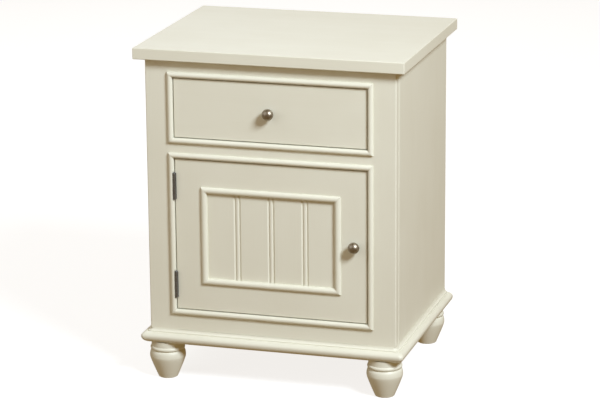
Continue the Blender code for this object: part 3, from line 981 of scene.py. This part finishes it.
def makeHinge(level):
    pinLow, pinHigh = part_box(f"hinge_{level}_pin")
    axis = (pinLow + pinHigh) / 2
    count, radius = hingeLook["knuckles"], hingeLook["knuckle"]
    low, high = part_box(f"hinge_{level}_frame_leaf")
    pitch = (high.z - low.z) / count
    bottom, top = low.z, high.z
    for side, word, body, own in ((-1, "frame", "carcass", (0, 2, 4)), (1, "door", "door", (1, 3))):
        node = f"hinge_{level}_{word}_leaf"
        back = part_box(node)[1].y
        inner = axis.x + side * 0.15 * mm
        faces = sorted((inner, inner + side * hingeLook["leaf"]))
        start = axis.y + radius + 0.5 * mm
        plate = boardShape((faces[0], start, bottom), (faces[1], back, top))
        easeEdges(
            plate,
            hingeLook["cornerRound"],
            5,
            lambda a, b: min(a.y, b.y) > back - 0.1 * mm and abs(a.x - b.x) > 0.5 * mm,
        )
        screwX = inner + side * 0.02 * mm
        holes = []
        for i in range(hingeLook["screws"]):
            depth = start + hingeLook["screwSetback"] + hingeLook["screwStagger"] * (i % 2)
            holes.append((screwX, depth, bottom + (top - bottom) * (i + 0.5) / hingeLook["screws"]))
        shapes = [plate]
        for i in own:
            span = (bottom + i * pitch + 0.15 * mm, bottom + (i + 1) * pitch - 0.15 * mm)
            shapes.append(tubeShape(hingeLook["pin"] + hair, radius, (axis.x, axis.y, 0), span, 0.3 * mm))
            strapLow = (faces[0], axis.y + hingeLook["strapFrom"], span[0])
            shapes.append(boardShape(strapLow, (faces[1], start + hair, span[1])))
        metallic(f"{node}_fine", joined(shapes), "satin_steel", body, node, sharpAbove=40)
        screws = screwsAt(holes, (-side, 0, 0), hingeLook["screwRadius"], 0.12 * mm, 0.1 * mm)
        metallic(f"hinge_{level}_{word}_screws", screws, "zinc_steel", body)
    pin, head = hingeLook["pin"], hingeLook["pinHead"]
    profile = [(0, bottom), (pin - 0.4 * mm, bottom), (pin, bottom + 0.5 * mm)]
    profile += [(pin, top + hair), (head - 0.3 * mm, top + hair), (head, top + 0.4 * mm)]
    profile += arc((0, top + 0.5 * mm), (head, pinHigh.z - top - 0.5 * mm), 0, 90, 10)
    profile[-1] = (0, pinHigh.z)
    shape = latheShape(profile, (axis.x, axis.y, 0), steps=40)
    node = f"hinge_{level}_pin"
    metallic(f"{node}_fine", shape, "satin_steel", "carcass", node)


# Drawer slides

slideLook = {
    "wall": 1.2 * mm,
    "bendRound": 2.2 * mm,
    "screwsAt": (0.08, 0.45, 0.92),  # of the channel's length
    "screwRadius": 2.9 * mm,
    "ballRadius": 0.47 * mm,  # the channels leave 1 mm between them
    "ballPitch": 7 * mm,
    "balls": 16,
    "firstBall": 12 * mm,
    "cageFrom": 8 * mm,
    "cageHalfWidth": 2 * mm,
    "cageHalfThick": 0.25 * mm,
}


def channelOutline(web, lip, low, high):
    # a C of bent sheet, seen along the slide
    wall, curve = slideLook["wall"], slideLook["bendRound"]
    way = 1 if lip > web else -1
    inside = curve - wall
    outer = [(lip, low)] + arc((web + way * curve, low + curve), (-way * curve, curve), -90, 0, 6)
    outer += arc((web + way * curve, high - curve), (-way * curve, curve), 0, 90, 6) + [(lip, high)]
    inner = [(lip, high - wall)] + arc((web + way * curve, high - curve), (-way * inside, inside), 90, 0, 6)
    inner += arc((web + way * curve, low + curve), (-way * inside, inside), 0, -90, 6) + [(lip, low + wall)]
    return outer + inner


def makeSlides():
    bodies = {"outer": "carcass", "inner": "drawer"}
    for side, word in ((-1, "left"), (1, "right")):
        for member in ("outer", "middle", "inner"):
            node = f"slide_{member}_{word}"
            low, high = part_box(node)
            body = bodies.get(member, f"slide_{word}")
            near, far = (high.x, low.x) if side < 0 else (low.x, high.x)  # near the middle of the cabinet
            web, lip = (near, far) if member == "inner" else (far, near)
            shape = prismShape(channelOutline(web, lip, low.z, high.z), "Y", (low.y, high.y))
            metallic(f"{node}_fine", shape, "zinc_steel", body, node, sharpAbove=40)
            if member == "outer":
                level = (low.z + high.z) / 2
                seat = far - side * slideLook["wall"]
                spots = [(seat, low.y + (high.y - low.y) * at, level) for at in slideLook["screwsAt"]]
                heads = screwsAt(spots, (-side, 0, 0), slideLook["screwRadius"], 0.6 * mm, 0.5 * mm)
                metallic(f"slide_screws_{word}", heads, "zinc_steel", "carcass")
        makeBallCage(word)
        node = f"slide_spacer_{word}"
        low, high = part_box(node)
        wooden(f"{node}_fine", boardShape(low, high, 0.8 * mm, 2), "Y", "carcass", node)


def makeBallCage(word):
    low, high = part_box(f"slide_middle_{word}")
    outerLow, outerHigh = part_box(f"slide_outer_{word}")
    wall = slideLook["wall"]
    across = (low.x + high.x) / 2
    ball = bmesh.new()
    bmesh.ops.create_uvsphere(ball, u_segments=16, v_segments=10, radius=slideLook["ballRadius"])
    shapes = []
    start = low.y + slideLook["cageFrom"]
    length = slideLook["ballPitch"] * slideLook["balls"]
    halfWidth, halfThick = slideLook["cageHalfWidth"], slideLook["cageHalfThick"]
    for level in ((low.z + outerLow.z + wall) / 2, (high.z + outerHigh.z - wall) / 2):
        for i in range(slideLook["balls"]):
            y = low.y + slideLook["firstBall"] + i * slideLook["ballPitch"]
            shapes.append(movedTo(ball, Matrix.Translation((across, y, level))))
        cageLow = (across - halfWidth, start, level - halfThick)
        shapes.append(boardShape(cageLow, (across + halfWidth, start + length, level + halfThick)))
    metallic(f"slide_ball_cage_{word}", joined(shapes), "zinc_steel", f"slide_{word}", sharpAbove=50)


# Catch

catchLook = {
    "round": 1.6 * mm,
    "ear": 7 * mm,
    "earThick": 3.2 * mm,
    "earScrewInset": 3.6 * mm,
    "recess": 0.5 * mm,
    "poleThick": 1.6 * mm,
    "poleWide": 24 * mm,
    "poleOffset": 3.6 * mm,
}


def makeCatch():
    low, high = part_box("catch_magnet")
    ear, earLevel = catchLook["ear"], high.z - catchLook["earThick"]
    bodyLow = (low.x + ear, low.y + catchLook["recess"], low.z)
    bodyShape = boardShape(bodyLow, (high.x - ear, high.y, high.z - 0.2 * mm))
    easeEdges(bodyShape, catchLook["round"], 4)
    ears = boardShape((low.x, low.y + 3 * mm, earLevel), (high.x, high.y - 3 * mm, high.z))
    easeEdges(ears, 1.2 * mm, 3)
    piece("catch_magnet_fine", joined([bodyShape, ears]), plastic, "carcass", "catch_plastic", "catch_magnet")
    half, thick = catchLook["poleWide"] / 2, catchLook["poleThick"]
    centre = (low.x + high.x) / 2
    level = (low.z + high.z) / 2
    plates = []
    for offset in (-catchLook["poleOffset"], catchLook["poleOffset"]):
        plate = boardShape(
            (centre - half * 0.8, low.y, level + offset - thick / 2),
            (centre + half * 0.8, low.y + 4 * mm, level + offset + thick / 2),
        )
        easeEdges(plate, 0.4 * mm, 2)
        plates.append(plate)
    metallic("catch_pole_plates", joined(plates), "zinc_steel", "carcass")
    inset = catchLook["earScrewInset"]
    places = [(x, (low.y + high.y) / 2, earLevel) for x in (low.x + inset, high.x - inset)]
    heads = screwsAt(places, (0, 0, -1), 2.6 * mm, 1.3 * mm, 1.0 * mm)
    metallic("catch_screws", heads, "zinc_steel", "carcass")
    low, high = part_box("catch_strike")
    strike = boardShape(low, high)
    easeEdges(strike, 2 * mm, 4, lambda a, b: abs(a.y - b.y) > 0.5 * mm)
    metallic("catch_strike_fine", strike, "zinc_steel", "door", "catch_strike")
    centre = ((low.x + high.x) / 2, high.y - 0.1 * mm, (low.z + high.z) / 2)
    head = screwsAt([centre], (0, 1, 0), 2.4 * mm, 0.45 * mm, 0.35 * mm)
    metallic("catch_strike_screw", head, "zinc_steel", "door")


def makeRoom():
    radius, rim = room["floorRadius"], room["rimRadius"]
    profile = [(radius * share, 0) for share in (0, 0.25, 0.5, 0.75)]
    profile += arc((radius, rim), (rim, rim), -90, 0, 16)
    profile.append((radius + rim, room["backdropHeight"]))
    shape = latheShape(profile, (0, 0, 0), steps=96)
    for each in shape.faces:
        each.normal_flip()
    mesh = bpy.data.meshes.new("pale_floor")
    shape.to_mesh(mesh)
    mesh.polygons.foreach_set("use_smooth", [True] * len(mesh.polygons))
    floor = bpy.data.objects.new("pale_floor", mesh)
    bpy.context.scene.collection.objects.link(floor)
    mesh.materials.append(paleRoom("pale_floor"))
    floor.visible_diffuse = False  # so the floor sends no light up under the cabinet
    floor.visible_glossy = False
    world = bpy.data.worlds.new("studio")
    bpy.context.scene.world = world
    world.use_nodes = True
    backdrop = world.node_tree.nodes["Background"]
    backdrop.inputs["Color"].default_value = (*room["ambient"], 1)
    backdrop.inputs["Strength"].default_value = room["ambientStrength"]
    bpy.context.scene.view_settings.view_transform = "Standard"


# The cabinet

placeCamera()
placeLamps()
makeRoom()
print("camera, lamps and floor placed")

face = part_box("face_rail_top")[0].y
paints = {grain: creamPaint(f"cream_paint_{grain}", grain) for grain in "XYZ"}
woods = {grain: lacqueredWood(f"lacquered_wood_{grain}", grain) for grain in "XY"}
metals = {name: metal(name) for name in metalLooks}
plastic = mouldedPlastic("catch_plastic")
print("finishes mixed")

makeTop()
makeSides()
makeBack()
makeFaceFrame()
makeBeads()
makeBase()
makeFeet()
print("carcass made")

makeDrawer()
makeKnob("drawer_front", "drawer")
makeSlides()
print("drawer and slides made")

makeDoorFrame()
makeDoorPanel()
makePanelMoulding()
makeKnob("door_stile_latch", "door")
makeHinge("upper")
makeHinge("lower")
makeCatch()
print("door made")
